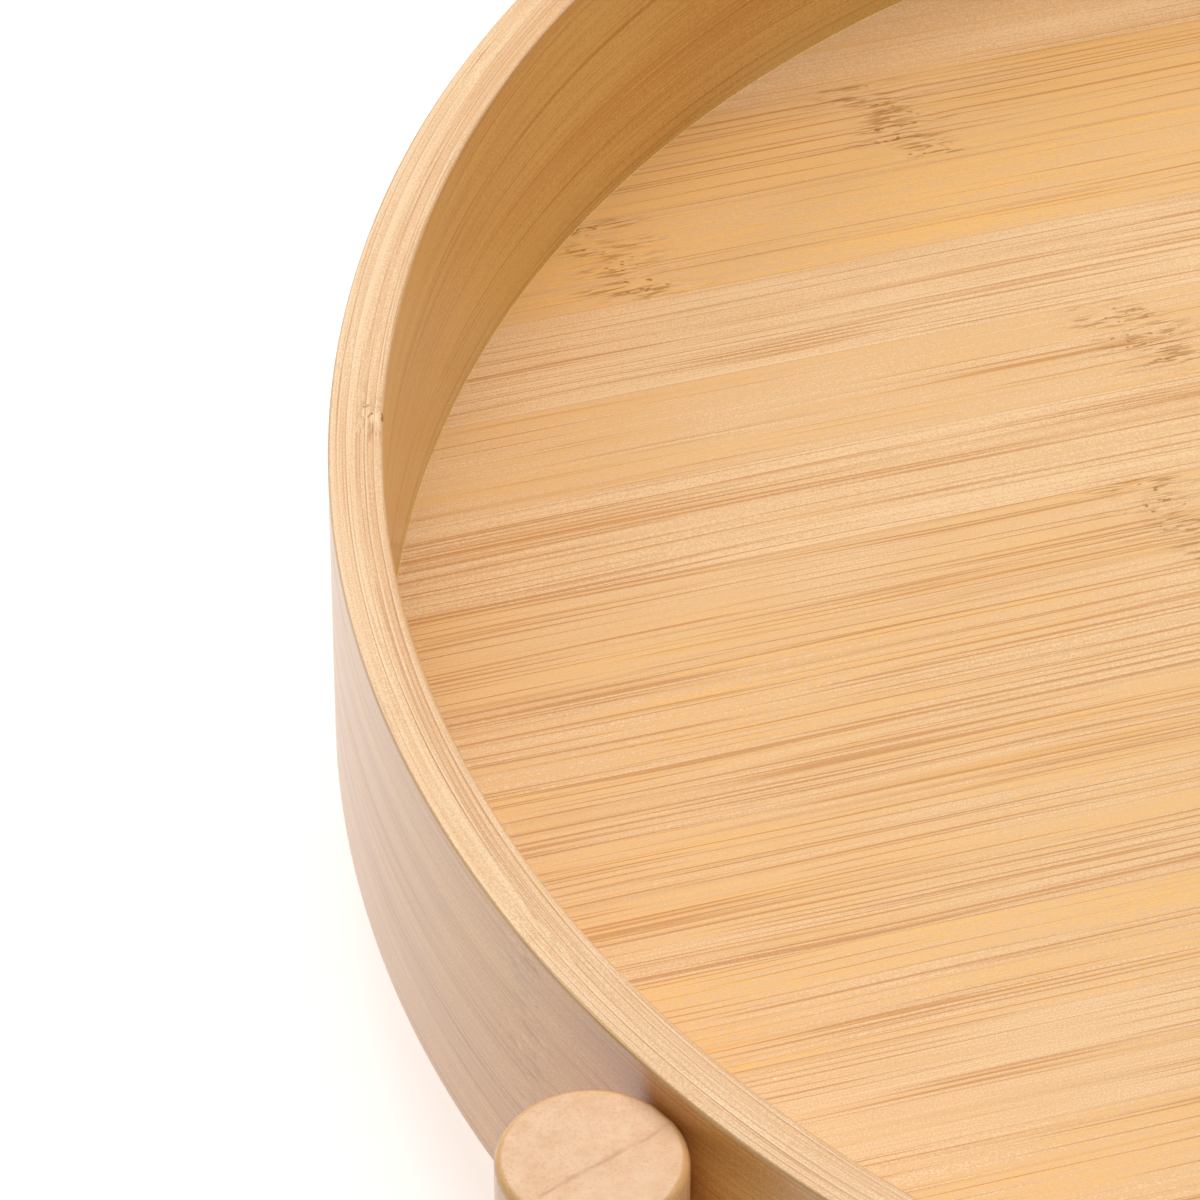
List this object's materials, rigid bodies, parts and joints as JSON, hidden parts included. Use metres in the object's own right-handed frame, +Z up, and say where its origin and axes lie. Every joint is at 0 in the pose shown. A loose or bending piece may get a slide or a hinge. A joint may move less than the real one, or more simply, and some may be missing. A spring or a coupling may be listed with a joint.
{
  "type": "lazy susan turntable",
  "caption": "Round bamboo tray with a bent rim and upright dowel grips outside it, turning on a ball bearing over a smaller round base with rubber feet.",
  "frame": {"origin": "on the table, on the turning axis, under the middle of the base", "axes": "+Z up along the turning axis; the grip posts lie at 45 degrees between +X and +Y, and every quarter turn from there"},
  "size_m": [0.39, 0.39, 0.079],
  "materials": {
    "bamboo_board": "satin clear lacquer, edge-glued strips",
    "bamboo_hoop": "satin clear lacquer, bent plies",
    "bamboo_dowel": "satin clear lacquer, turned",
    "bamboo_base": "satin clear lacquer, edge-glued strips",
    "zinc_steel": "zinc plated",
    "race_aluminium": "turned, satin",
    "polished_steel": "polished",
    "nylon": "moulded, natural",
    "black_rubber": "matt"
  },
  "bodies": {
    "base": {"base_disc": "bamboo_base", "rubber_foot_1": "black_rubber", "rubber_foot_2": "black_rubber", "rubber_foot_3": "black_rubber", "rubber_foot_4": "black_rubber", "foot_washers": "zinc_steel", "foot_screws": "zinc_steel", "fixed_race_plate": "race_aluminium", "race_clamp_ring": "race_aluminium", "race_screws": "zinc_steel"},
    "tray": {"tray_floor": "bamboo_board", "rim_hoop": "bamboo_hoop", "grip_post_1": "bamboo_dowel", "grip_post_2": "bamboo_dowel", "grip_post_3": "bamboo_dowel", "grip_post_4": "bamboo_dowel", "post_screws": "zinc_steel", "turning_race_plate": "race_aluminium", "tray_screws": "zinc_steel"},
    "cage": {"ball_cage": "nylon", "bearing_balls": "polished_steel"}
  },
  "joints": [
    {"name": "tray_spin", "type": "hinge", "parent": "base", "child": "tray", "pos_m": [0, 0, 0.024], "axis": [0, 0, 1], "continuous": true},
    {"name": "cage_spin", "type": "hinge", "parent": "base", "child": "cage", "pos_m": [0, 0, 0.024], "axis": [0, 0, 1], "continuous": true}
  ],
  "couplings": [
    {"joint": "cage_spin", "follows": "tray_spin", "ratio": 0.48527}
  ]
}
